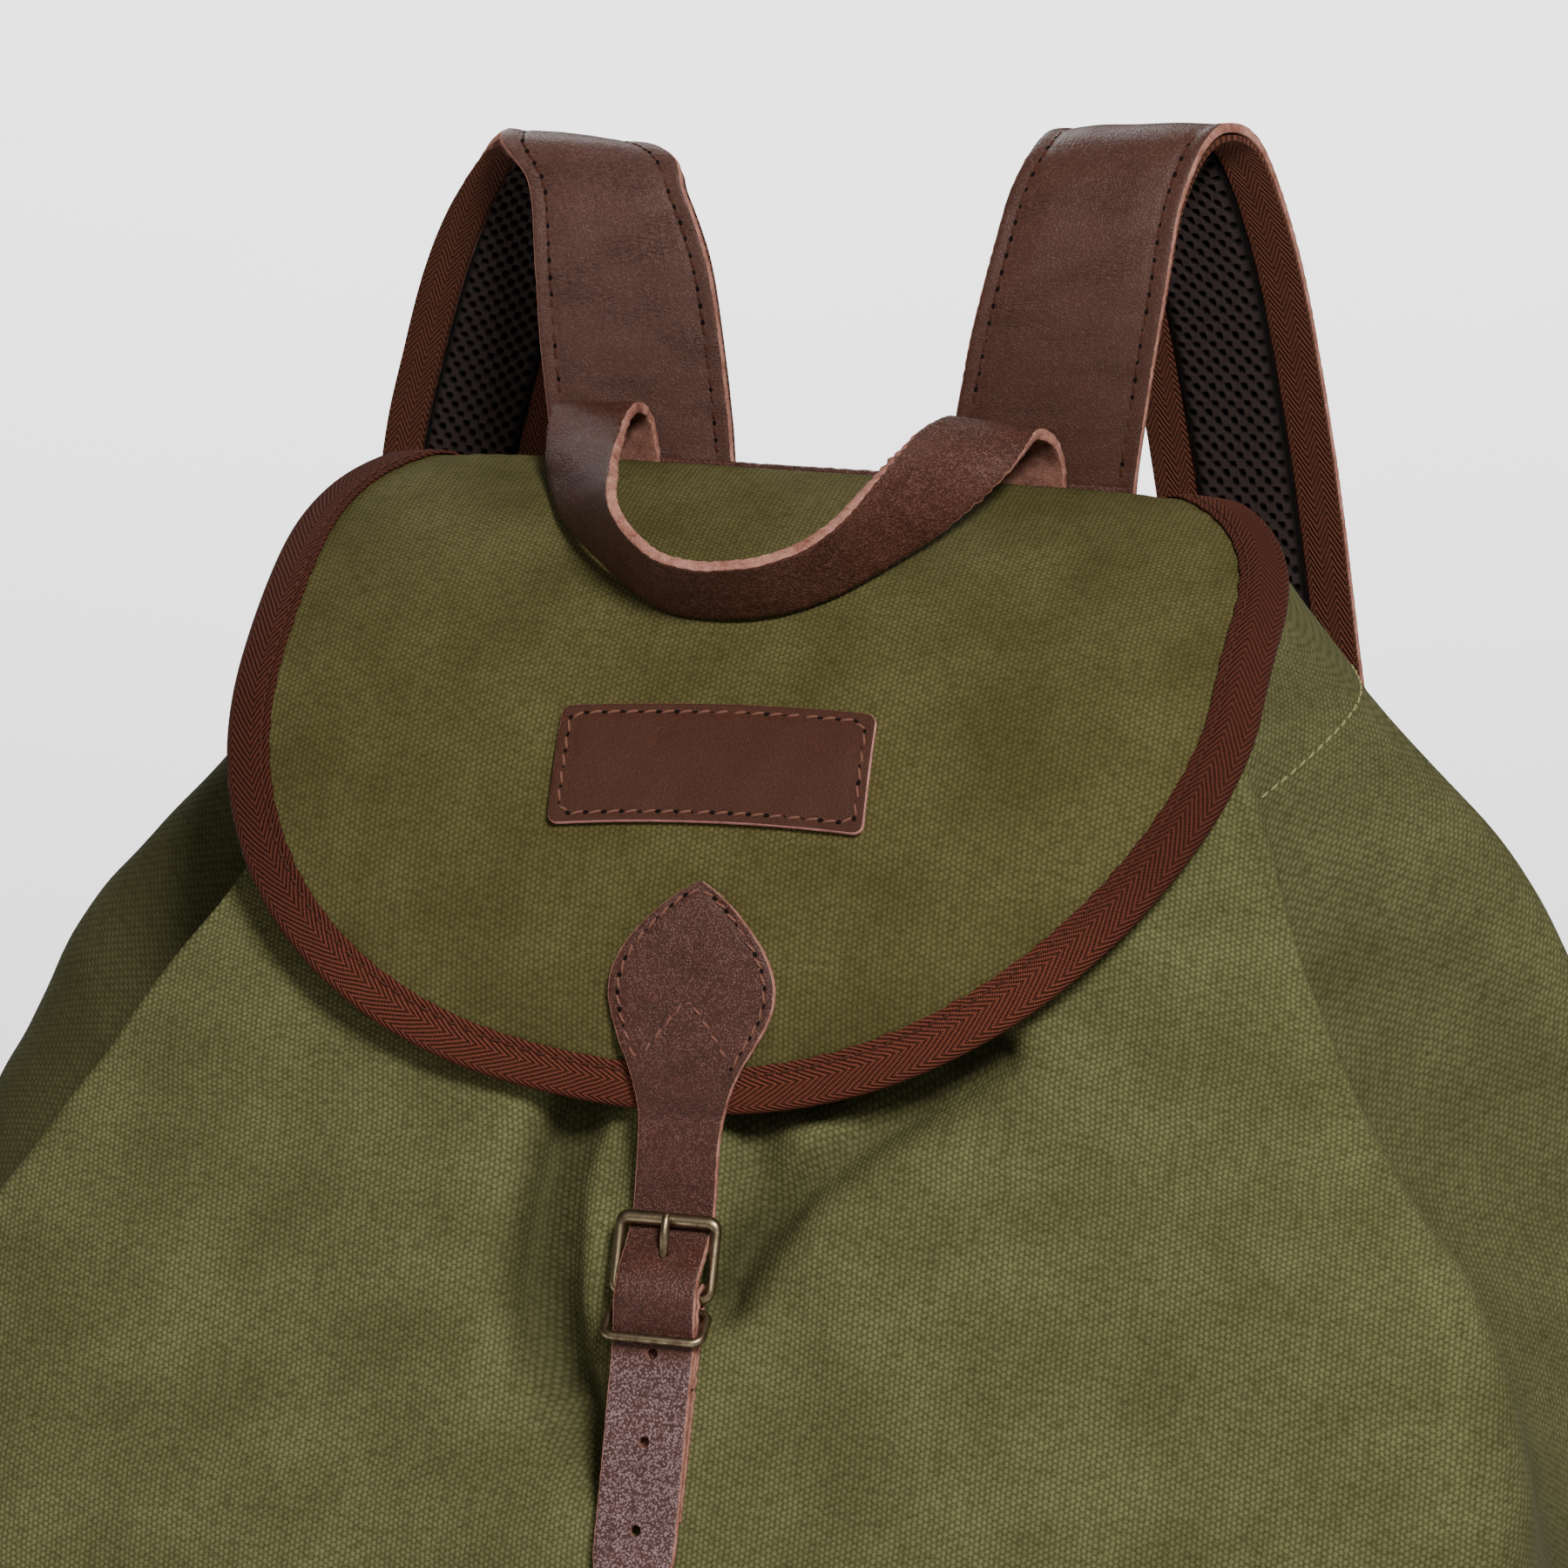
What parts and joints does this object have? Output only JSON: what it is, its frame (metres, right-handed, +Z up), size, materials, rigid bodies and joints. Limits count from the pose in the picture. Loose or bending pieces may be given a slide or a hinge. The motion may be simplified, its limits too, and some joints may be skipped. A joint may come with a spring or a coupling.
{
  "type": "mountain backpack",
  "caption": "Canvas mountain rucksack with a bound dome flap closed by a leather strap and buckle, a leather carry handle and padded leather shoulder straps.",
  "frame": {"origin": "middle of the base's flat underside, on the floor", "axes": "+Z up; the bag's front with the buckle faces -Y, the back panel with the shoulder straps is at +Y; +X is to the right seen from the front"},
  "size_m": [0.461, 0.2809, 0.5093],
  "materials": {
    "canvas": "waxed olive plain-weave canvas, rough",
    "flap_canvas": "waxed olive plain-weave canvas, rough",
    "binding_tape": "brown herringbone cotton tape",
    "patch_leather": "brown leather with a pinkish raw edge",
    "leather": "grained brown leather, soft sheen",
    "handle_leather": "grained brown leather, raw edges",
    "strap_leather": "grained brown leather, soft sheen",
    "strap_mesh": "black spacer mesh",
    "strap_tape": "brown twill tape",
    "buckle_metal": "aged brass, polished by wear",
    "ring_metal": "aged brass, polished by wear"
  },
  "bodies": {
    "root": {"main_body": "canvas", "flap": "flap_canvas", "flap_binding": "binding_tape", "patch": "patch_leather", "closure_strap": "leather", "buckle_strap": "leather", "buckle_frame": "buckle_metal", "buckle_prong": "buckle_metal", "keeper_loop": "buckle_metal", "carry_handle": "handle_leather", "strap_yoke": "leather", "shoulder_strap_left": "strap_leather", "shoulder_strap_right": "strap_leather", "strap_mesh_left": "strap_mesh", "strap_mesh_right": "strap_mesh", "strap_tape_outer_left": "strap_tape", "strap_tape_outer_right": "strap_tape", "strap_tape_inner_left": "strap_tape", "strap_tape_inner_right": "strap_tape", "strap_ring_left": "ring_metal", "strap_ring_right": "ring_metal", "lower_strap_left": "leather", "lower_strap_right": "leather"}
  },
  "joints": []
}
